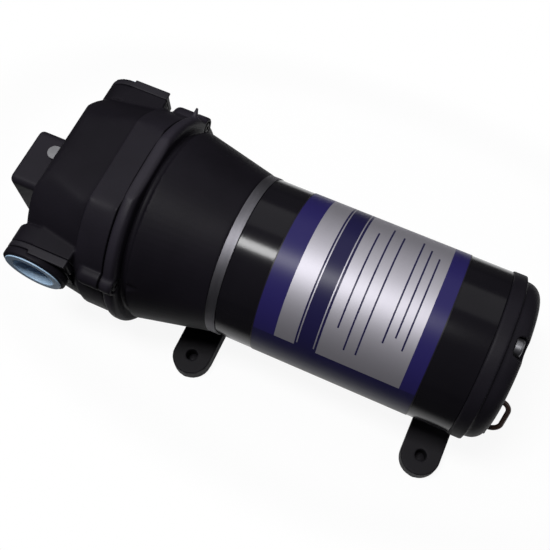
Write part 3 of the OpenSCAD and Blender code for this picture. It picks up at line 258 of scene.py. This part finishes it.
# Motor tube: drawn steel, painted gloss black, pushed over the end bell's spigot at the front
# and the cap's spigot at the rear. Its two ends are plain cut edges with a small break.
TUBE_R, TUBE_IN, TUBE_X = 36.0, 34.0, (-43.35, 61.65)
BREAK_IN, BREAK_OUT = 0.3, 0.4


def rounded(corners, bend=6):
    """The outline of a section whose corners are (along, radius, rounding), closed."""
    line = []
    for k, (x, r, soft) in enumerate(corners):
        here = Vector((x, r))
        if soft <= 0:
            line.append(here)
            continue
        before = (Vector(corners[k - 1][:2]) - here).normalized()
        after = (Vector(corners[(k + 1) % len(corners)][:2]) - here).normalized()
        half = acos(max(-1, min(1, before.dot(after)))) / 2
        cut = soft / tan(half)
        middle = here + (before + after).normalized() * soft / sin(half)
        start, end = here + before * cut - middle, here + after * cut - middle
        sweep = start.angle_signed(end)
        for i in range(bend + 1):
            turn = -sweep * i / bend
            line.append(middle + Vector((start.x * cos(turn) - start.y * sin(turn),
                                         start.x * sin(turn) + start.y * cos(turn))))
    return line


def turned(name, line, along, steps=192):
    """Turns a closed outline of (along, radius) in mm about the local z of the matrix along."""
    body = bmesh.new()
    rings = []
    for k in range(steps):
        turn = 2 * pi * k / steps
        rings.append([body.verts.new((p.y * cos(turn), p.y * sin(turn), p.x)) for p in line])
    count = len(line)
    for k in range(steps):
        near, far = rings[k], rings[(k + 1) % steps]
        for i in range(count):
            body.faces.new((near[i], near[(i + 1) % count], far[(i + 1) % count], far[i]))
    bmesh.ops.recalc_face_normals(body, faces=body.faces)
    body.transform(along @ Matrix.Scale(MM, 4))
    made = bpy.data.meshes.new(name)
    body.to_mesh(made)
    body.free()
    made.shade_smooth()
    piece = bpy.data.objects.new(name, made)
    scene.collection.objects.link(piece)
    crisp = piece.modifiers.new("crisp", "WEIGHTED_NORMAL")
    crisp.keep_sharp = True
    return piece


motor_axis = Matrix(((0, 0, 1, 0), (1, 0, 0, 0), (0, 1, 0, AXIS_Z * MM), (0, 0, 0, 1)))
tube = turned("motor_tube_paint", rounded([
    (TUBE_X[0], TUBE_IN, BREAK_IN), (TUBE_X[0], TUBE_R, BREAK_OUT),
    (TUBE_X[1], TUBE_R, BREAK_OUT), (TUBE_X[1], TUBE_IN, BREAK_IN)]), motor_axis)
tube.data.materials.append(finish("gloss_black", (0.0064, 0.0058, 0.0078), spread=0.2, rough=0.16,
                                  grain=250, bump=0.03, specular=0.15))
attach(tube, "housing")
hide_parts("motor_tube")


# Label: a printed film wrapped round the tube, silver foil under blue and navy ink.
# The rules that run round the tube are print too, so they are in the film's colour.
LABEL_R, LABEL_X, LABEL_EDGE = (36.03, 36.21), (-27.0, 43.7), 0.08
PRINT_X, PANEL_X, STRIPE_X = (-26.5, 43.2), (-17.3, 36.5), (-8.6, 0.8)
PRINT_TURN, PANEL_TURN, STRIPE_RULE_TURN = (-97, 97), (-66.5, 75), (-64, 73)
RULE_HALF, STRIPE_RULE_HALF = 0.35, 0.25
label = turned("label_print", rounded([
    (LABEL_X[0], LABEL_R[0], 0), (LABEL_X[0], LABEL_R[1], LABEL_EDGE),
    (LABEL_X[1], LABEL_R[1], LABEL_EDGE), (LABEL_X[1], LABEL_R[0], 0)], bend=3), motor_axis, steps=256)
film = finish("label_foil", (0.6, 0.6, 0.6), spread=0.04, rough=0.58, grain=600, bump=0.02, specular=0.15,
              stretch=(1, 8, 8))
film_tree = film.node_tree
foil = film_tree.nodes["Principled BSDF"]


def places(tree):
    """The three sockets of a surface's place on its piece, in metres."""
    spot = tree.nodes.new("ShaderNodeTexCoord")
    parts = tree.nodes.new("ShaderNodeSeparateXYZ")
    tree.links.new(spot.outputs["Object"], parts.inputs["Vector"])
    return parts.outputs


def inside(tree, value, low, high):
    """1 where a position is between two limits."""
    return reckon(tree, "MULTIPLY", reckon(tree, "GREATER_THAN", value, low),
                  reckon(tree, "LESS_THAN", value, high))


run, aside, up = places(film_tree)
angle = reckon(film_tree, "ARCTAN2", aside, reckon(film_tree, "SUBTRACT", up, AXIS_Z * MM))


def patch(along, turn):
    """1 on the part of the film between two places along the tube, in mm, and two turns, in degrees."""
    return reckon(film_tree, "MULTIPLY", inside(film_tree, run, *(x * MM for x in along)),
                  inside(film_tree, angle, *(radians(a) for a in turn)))


def print_over(under, colour, mask):
    """Lays one ink over what is printed so far."""
    mix = film_tree.nodes.new("ShaderNodeMix")
    mix.data_type = "RGBA"
    if isinstance(under, tuple):
        mix.inputs["A"].default_value = (*under, 1)
    else:
        film_tree.links.new(under, mix.inputs["A"])
    mix.inputs["B"].default_value = (*colour, 1)
    film_tree.links.new(mask, mix.inputs["Factor"])
    return mix.outputs["Result"]


INK_BLACK, INK_BLUE, INK_NAVY = (0.008, 0.007, 0.010), (0.0165, 0.013, 0.080), (0.011, 0.0095, 0.044)
FOIL, FOIL_METAL, INK_GLOSS = (0.385, 0.373, 0.412), 0.80, 0.62
printed = print_over(INK_BLACK, INK_NAVY, patch(PRINT_X, PRINT_TURN))
for band in ((PRINT_X[0], PANEL_X[0]), (PANEL_X[1], PRINT_X[1])):
    printed = print_over(printed, INK_BLUE, patch(band, PANEL_TURN))
printed = print_over(printed, FOIL, patch(PANEL_X, PANEL_TURN))
printed = print_over(printed, INK_NAVY, patch(STRIPE_X, PANEL_TURN))
for at in (-7.6, -0.4):
    rule = (at - STRIPE_RULE_HALF, at + STRIPE_RULE_HALF)
    printed = print_over(printed, FOIL, patch(rule, STRIPE_RULE_TURN))
for at, turn in ((6.0, (-42, 30)), (11.0, (-55, 42)), (16.0, (-55, 36)),
                 (24.0, (-40, 40)), (28.0, (-34, 34)), (32.0, (-40, 28))):
    printed = print_over(printed, INK_NAVY, patch((at - RULE_HALF, at + RULE_HALF), turn))
film_tree.links.new(printed, foil.inputs["Base Color"])
tones = film_tree.nodes.new("ShaderNodeSeparateColor")
film_tree.links.new(printed, tones.inputs["Color"])
bare_foil = reckon(film_tree, "GREATER_THAN", tones.outputs["Red"], FOIL[0] / 2)
film_tree.links.new(reckon(film_tree, "MULTIPLY", bare_foil, FOIL_METAL), foil.inputs["Metallic"])
matt = foil.inputs["Roughness"].links[0].from_socket
inked = reckon(film_tree, "MAXIMUM", bare_foil, INK_GLOSS)
film_tree.links.new(reckon(film_tree, "MULTIPLY", matt, inked), foil.inputs["Roughness"])
label.data.materials.append(film)
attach(label, "housing")
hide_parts("motor_label")


# End bell: a die-cast aluminium ring between the tube and the pump head, turned on its outside.
# It carries the front bearing, and the lower housing's four screws go into it.
bell_metal = finish("bell_aluminium", (0.128, 0.125, 0.138), spread=0.18, rough=0.52, grain=500, bump=0.25,
                    metal=1.0, stretch=(6, 1, 1))


def dress(name, look, smooth=35):
    """Gives a node of the frame its material, and soft shading across shallow edges."""
    weld_gap = 0.002
    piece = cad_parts[name]
    piece.data.materials.clear()
    piece.data.materials.append(look)
    piece.data.shade_smooth()
    joined = piece.modifiers.new("joined", "WELD")
    joined.merge_threshold = weld_gap * MM
    creased = piece.modifiers.new("creased", "EDGE_SPLIT")
    creased.split_angle = radians(smooth)
    return piece


dress("front_bell", bell_metal)


# Rear cap: moulded black plastic with a band, a groove and a rounded end, held by two long bolts
# whose hexagon-socket heads sit in recesses. Two rubber grommets guard the lead.
cap_plastic = finish("cap_plastic", (0.0082, 0.0073, 0.0102), spread=0.2, rough=0.5, grain=500, bump=0.12,
                     specular=0.08)


def moulded(name, body, look, grid, softening, keep=1.0):
    """A copy of a node with its edges softened as a moulding's are: grid is the mesh size in mm."""
    piece = bpy.data.objects.new(name + "_moulding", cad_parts[name].data.copy())
    scene.collection.objects.link(piece)
    cells = piece.modifiers.new("cells", "REMESH")
    cells.mode = "VOXEL"
    cells.voxel_size = grid * MM
    ease = piece.modifiers.new("ease", "SMOOTH")
    ease.factor = 0.5
    ease.iterations = softening
    if keep < 1:
        fewer = piece.modifiers.new("fewer", "DECIMATE")
        fewer.ratio = keep
    solid = bpy.data.meshes.new_from_object(piece.evaluated_get(bpy.context.evaluated_depsgraph_get()))
    piece.modifiers.clear()
    piece.data = solid
    low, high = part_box(name)
    for point in solid.vertices:
        point.co = [max(a, min(b, v)) for v, a, b in zip(point.co, low, high)]
    solid.materials.clear()
    solid.materials.append(look)
    solid.shade_smooth()
    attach(piece, body)
    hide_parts(name)
    return piece


moulded("rear_cap", "housing", cap_plastic, grid=0.5, softening=6, keep=0.4)
zinc = finish("zinc_plate", (0.60, 0.60, 0.62), spread=0.1, rough=0.3, grain=900, bump=0.05, metal=1.0)
dress("through_bolts", finish("bolt_plate", (0.22, 0.22, 0.235), spread=0.1, rough=0.42, grain=900,
                              bump=0.05, metal=1.0))
grommet_rubber = finish("grommet_rubber", (0.014, 0.014, 0.015), spread=0.2, rough=0.6, grain=900,
                        bump=0.15)
dress("lead_grommets", grommet_rubber)


# Motor's inside: two ferrite magnets in the tube, a laminated core with copper windings on the shaft,
# and a commutator under two carbon brushes on a card. The shaft runs in a bronze bush and a ball bearing.
bright_steel = finish("ground_steel", (0.62, 0.63, 0.65), spread=0.06, rough=0.22, grain=900, bump=0.03,
                      metal=1.0)
dark_steel = finish("lamination_steel", (0.20, 0.20, 0.22), spread=0.2, rough=0.45, grain=700, bump=0.15,
                    metal=1.0, stretch=(10, 1, 1))
copper = finish("copper_wire", (0.60, 0.26, 0.10), spread=0.2, rough=0.35, grain=1200, bump=0.3, metal=1.0,
                stretch=(1, 3, 3))
spring_steel = finish("spring_steel", (0.50, 0.51, 0.53), spread=0.1, rough=0.35, grain=1500, bump=0.2,
                      metal=1.0)
carbon = finish("carbon_block", (0.03, 0.03, 0.031), spread=0.3, rough=0.7, grain=1500, bump=0.3)
card_brown = finish("brush_card", (0.16, 0.075, 0.035), spread=0.25, rough=0.6, grain=800, bump=0.25)
ferrite = finish("ferrite", (0.055, 0.054, 0.058), spread=0.2, rough=0.7, grain=900, bump=0.3)
bronze = finish("sintered_bronze", (0.45, 0.29, 0.11), spread=0.15, rough=0.5, grain=1500, bump=0.3,
                metal=1.0)
for names, look in ((("magnets",), ferrite), (("shaft",), bright_steel), (("rotor_core",), dark_steel),
                    (("windings", "commutator"), copper), (("brush_card", "thrust_washer"), card_brown),
                    (("brush_near", "brush_far"), carbon), (("rear_bush",), bronze),
                    (("brush_spring_near", "brush_spring_far"), spring_steel),
                    (("front_bearing_outer", "front_bearing_inner", "front_bearing_balls"), bright_steel)):
    for name in names:
        dress(name, look)


# Drive: a steel cam with a tilted seat on the shaft, held by a grub screw. Its ball bearing carries
# the nylon wobble plate, and four piston caps are screwed to the plate through the diaphragm.
nylon = finish("white_nylon", (0.70, 0.68, 0.62), spread=0.05, rough=0.45, grain=500, bump=0.1)
for name in ("cam", "cam_grub_screw"):
    dress(name, dark_steel)
for name in ("cam_bearing_inner", "cam_bearing_balls", "cam_bearing_outer"):
    dress(name, bright_steel)
for name in ("wobble_plate", "pistons"):
    dress(name, nylon)
dress("piston_screws", zinc)


# Lower housing: moulded black plastic, a cone with a flange and a pointed tab at its front and a pedestal
# for the foot, held by four screws inside it that go into the end bell. Its colour is darker on the cone
# and the front part than on the band and the flange, with painted shade at the joint of the two housings
# and a painted highlight on the flange's ridge.
HEAD_BLACK, HEAD_GLOSS = (0.0102, 0.0089, 0.0128), 0.09
SEAM_X, SEAM_CORE, SEAM_HALF, SEAM_SHADE = -89.65, 0.36, 0.9, 0.25
LIGHTER_ZONE_X, OUTER_ZONE_TONE = (-102.65, -83.3), 0.68
RIDGE_X, RIDGE_CORE, RIDGE_HALF, RIDGE_HIGHLIGHT = -87.0, 0.78, 2.6, 1.6
head_plastic = finish("head_plastic", HEAD_BLACK, spread=0.2, rough=0.5, grain=450, bump=0.14,
                      specular=HEAD_GLOSS)
head_tree = head_plastic.node_tree
plain = head_tree.nodes["Principled BSDF"]
head_run = places(head_tree)["X"]


def tone_about(middle, core, half, tone):
    """A factor that is tone within core of a place along the head, and 1 beyond half of it, in mm."""
    away = reckon(head_tree, "ABSOLUTE", reckon(head_tree, "SUBTRACT", head_run, middle * MM))
    fade = head_tree.nodes.new("ShaderNodeMapRange")
    fade.interpolation_type = "SMOOTHSTEP"
    fade.inputs["From Min"].default_value = core * MM
    fade.inputs["From Max"].default_value = half * MM
    fade.inputs["To Min"].default_value = tone
    fade.inputs["To Max"].default_value = 1
    head_tree.links.new(away, fade.inputs["Value"])
    return fade.outputs["Result"]


# Painted shade darkens the colour and sheen at the joint of the two housings, and a painted highlight
# lightens them on the flange's ridge.
seam_painted_shade = tone_about(SEAM_X, SEAM_CORE, SEAM_HALF, SEAM_SHADE)
ridge_painted_highlight = tone_about(RIDGE_X, RIDGE_CORE, RIDGE_HALF, RIDGE_HIGHLIGHT)
lighter_zone = inside(head_tree, head_run, *(x * MM for x in LIGHTER_ZONE_X))
outer_zone_share = reckon(head_tree, "MULTIPLY", reckon(head_tree, "SUBTRACT", 1, lighter_zone), 1 - OUTER_ZONE_TONE)
zone_tone = reckon(head_tree, "SUBTRACT", 1, outer_zone_share)
tone = reckon(head_tree, "MULTIPLY", reckon(head_tree, "MULTIPLY", seam_painted_shade, zone_tone), ridge_painted_highlight)
# The plastic's colour is multiplied by the painted shade, the painted highlight and the darker tone outside
# the band and flange.
painted_shade_and_tone = head_tree.nodes.new("ShaderNodeMix")
painted_shade_and_tone.data_type = "RGBA"
painted_shade_and_tone.blend_type = "MULTIPLY"
painted_shade_and_tone.inputs["Factor"].default_value = 1
head_tree.links.new(plain.inputs["Base Color"].links[0].from_socket, painted_shade_and_tone.inputs["A"])
head_tree.links.new(tone, painted_shade_and_tone.inputs["B"])
head_tree.links.new(painted_shade_and_tone.outputs["Result"], plain.inputs["Base Color"])
head_tree.links.new(reckon(head_tree, "MULTIPLY", tone, HEAD_GLOSS), plain.inputs["Specular IOR Level"])
moulded("lower_housing", "housing", head_plastic, grid=0.55, softening=6, keep=0.3)
dress("bell_screws", zinc)


# Diaphragm, valve plate and seals: a rubber sheet with four rolling folds, clamped at the joint under
# a nylon plate that holds the rubber valves. An O-ring and a flat ring seal the plate to the head.
seal_rubber = finish("seal_rubber", (0.022, 0.022, 0.024), spread=0.15, rough=0.62, grain=700, bump=0.2)
for name in ("diaphragm", "inlet_valves", "outlet_valve", "head_seals"):
    dress(name, seal_rubber)
dress("valve_plate", nylon)


# Upper housing: moulded black plastic, a band beside the flange, a tapered front part with flats, and
# a port on each side. Four screws from behind the flange hold it, with their heads sunk in the flange.
# The front part and the band have no creases, and the edge between them and the ports' barrels stay crisp.
FRONT_X, BAND_X, BARREL_IN, BARREL_R = (-128.5, -104.0), (-101.3, -91.2), 24, 15.5
PORT_X, PORT_Z = -119.75, 65
FLOW_ROUNDS, FLOW_KEEP = 140, 0.3
head = moulded("upper_housing", "housing", head_plastic, grid=0.5, softening=6)
flow = head.vertex_groups.new(name="flow")
soft = []
for point in head.data.vertices:
    x, y, z = (v / MM for v in point.co)
    barrel = Vector((x - PORT_X, z - PORT_Z)).length < BARREL_R
    block = x > PORT_X and abs(z - PORT_Z) < BARREL_R
    on_port = abs(y) > BARREL_IN and (barrel or block)
    along = FRONT_X[0] < x < FRONT_X[1] or BAND_X[0] < x < BAND_X[1]
    if along and not on_port:
        soft.append(point.index)
flow.add(soft, 1, "REPLACE")
ease = head.modifiers.new("ease", "SMOOTH")
ease.vertex_group = "flow"
ease.factor = 0.5
ease.iterations = FLOW_ROUNDS
fewer = head.modifiers.new("fewer", "DECIMATE")
fewer.ratio = FLOW_KEEP
dress("head_screws", finish("black_oxide", (0.012, 0.012, 0.014), spread=0.2, rough=0.5, grain=900,
                            bump=0.1, specular=0.2))


# Slide clips: flat moulded horseshoes with a thumb plate, one in the slot across each port's barrel.
# Each lifts straight up to free the hose fitting.
clip_plastic = finish("clip_plastic", (0.0120, 0.0108, 0.0146), spread=0.2, rough=0.46, grain=600, bump=0.1,
                      specular=0.15)
for side in ("near", "far"):
    moulded("clip_" + side, "clip_" + side, clip_plastic, grid=0.3, softening=4, keep=0.5)


# Transit plugs: pale blue moulded cups with a flat rim, pushed into the ports to keep dirt out.
# Each pulls straight out.
PLUG_R, PLUG_DEEP, PLUG_WALL, PLUG_FLOOR = 10.54, 8.56, 1.3, 1.6
RIM_R, RIM_T = 12.6, 0.6
NEAR_FACE, FAR_FACE = 48.46, 45.26
plug_blue = finish("plug_blue", (0.36, 0.51, 0.68), spread=0.08, rough=0.38, grain=500, bump=0.06)
for side, out, face in (("near", -1, NEAR_FACE), ("far", 1, FAR_FACE)):
    port_axis = Matrix(((1, 0, 0, PORT_X * MM), (0, 0, out, 0), (0, 1, 0, PORT_Z * MM), (0, 0, 0, 1)))
    bottom = face - PLUG_DEEP
    inner = PLUG_R - PLUG_WALL
    cup = turned("plug_cup_" + side, rounded([
        (bottom, 0, 0), (bottom, PLUG_R, 0.6), (face, PLUG_R, 0.1), (face, RIM_R, 0.2),
        (face + RIM_T, RIM_R, 0.25), (face + RIM_T, inner, 0.4), (bottom + PLUG_FLOOR, inner, 0.8),
        (bottom + PLUG_FLOOR, 0, 0)]), port_axis)
    cup.data.materials.append(plug_blue)
    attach(cup, "plug_" + side)
    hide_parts("plug_" + side)


# Pressure switch: a microswitch on a moulded base with a rubber disc, a sprung plunger and a button,
# under a moulded cover with two screws. Two tin-plated blades come out for the wires.
cover_plastic = finish("cover_plastic", (0.0102, 0.0089, 0.0128), spread=0.2, rough=0.5, grain=500,
                       bump=0.12, specular=0.12)
moulded("switch_cover", "housing", cover_plastic, grid=0.35, softening=6, keep=0.4)
dress("switch_base", cover_plastic)
dress("switch_diaphragm", seal_rubber)
dress("switch_plunger", nylon)
dress("switch_spring", spring_steel)
dress("microswitch", finish("switch_body", (0.03, 0.03, 0.045), spread=0.15, rough=0.4, grain=700,
                            bump=0.1))
dress("switch_button", finish("button_red", (0.42, 0.035, 0.025), spread=0.1, rough=0.35, grain=700,
                              bump=0.08))
blade_tin = finish("blade_tin", (0.24, 0.24, 0.25), spread=0.2, rough=0.46, grain=900, bump=0.08, metal=1.0,
                   stretch=(1, 1, 4))
dress("switch_terminals", blade_tin)
dress("switch_screws", zinc)


# Feet: soft black rubber bars with round ends and a hole at each end, screwed from below to the
# lower housing's pedestal in front and to a moulded saddle under the tube at the rear. A thin disc of the
# same rubber sits at the bottom of each hole as painted shade, so the hole reads dark.
foot_rubber = finish("foot_rubber", (0.0072, 0.0066, 0.0084), spread=0.25, rough=0.62, grain=500, bump=0.25,
                     specular=0.12)
for name in ("front_foot", "rear_foot"):
    moulded(name, "housing", foot_rubber, grid=0.5, softening=8, keep=0.4)
HOLE_X, HOLE_Y, SHADE_DISC_R, SHADE_DISC_Z = 57.65, 39.4, 3.0, (0.3, 1.2)
# Each hole gets a dark rubber disc at its bottom that stands in for the hole's shade: painted shade.
for end_name, x in (("front", -HOLE_X), ("rear", HOLE_X)):
    for side_name, y in (("near", -HOLE_Y), ("far", HOLE_Y)):
        upright = Matrix.Translation((x * MM, y * MM, 0))
        disc = [(SHADE_DISC_Z[0], 0, 0), (SHADE_DISC_Z[0], SHADE_DISC_R, 0), (SHADE_DISC_Z[1], SHADE_DISC_R, 0), (SHADE_DISC_Z[1], 0, 0)]
        hole_shade_disc = turned("foot_hole_shade_%s_%s" % (end_name, side_name), rounded(disc), upright, steps=48)
        hole_shade_disc.data.materials.append(foot_rubber)
        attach(hole_shade_disc, "housing")
moulded("rear_saddle", "housing", cap_plastic, grid=0.5, softening=5, keep=0.4)
dress("foot_screws", zinc)
